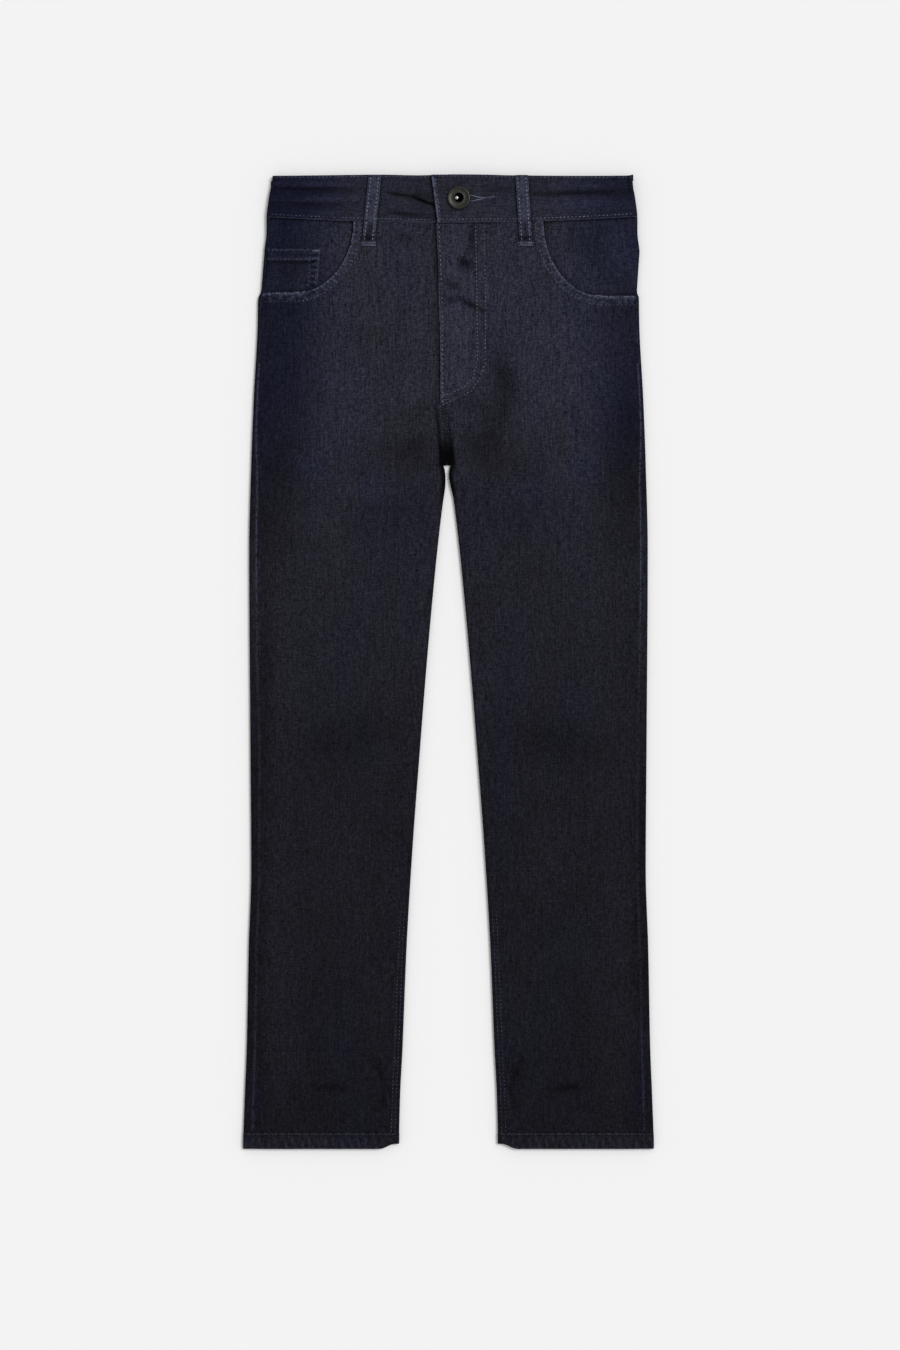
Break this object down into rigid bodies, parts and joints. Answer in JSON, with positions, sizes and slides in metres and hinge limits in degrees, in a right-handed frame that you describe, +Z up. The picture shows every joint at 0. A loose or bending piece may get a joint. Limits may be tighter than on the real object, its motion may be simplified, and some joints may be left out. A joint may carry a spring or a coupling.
{
  "type": "straight leg jeans",
  "caption": "Straight leg jeans with a fly front, a waistband with belt loops and a button, curved front pockets and a coin pocket, laid flat on their back.",
  "frame": {"origin": "under the middle of the laid garment, on the surface that it lies on", "axes": "+Y from the hems to the waist, +X to the wearer's left leg, +Z up out of the front of the garment"},
  "size_m": [0.4116, 0.974, 0.0129],
  "materials": {
    "denim": "dark indigo stretch denim twill, rinsed, matt",
    "thread": "pale blue corespun polyester sewing thread, for the stitching on the finished look",
    "metal": "dark antiqued nickel on a tack button"
  },
  "bodies": {
    "root": {"back_panel_left": "denim", "back_panel_right": "denim", "back_pocket_left": "denim", "back_pocket_right": "denim", "belt_loop_back_centre": "denim", "belt_loop_back_left": "denim", "belt_loop_back_right": "denim", "belt_loop_front_left": "denim", "belt_loop_front_right": "denim", "button": "metal", "coin_pocket": "denim", "front_panel_left": "denim", "front_panel_right": "denim", "hem_left": "denim", "hem_right": "denim", "pocket_facing_left": "denim", "pocket_facing_right": "denim", "waistband": "denim", "yoke_left": "denim", "yoke_right": "denim"}
  },
  "joints": []
}
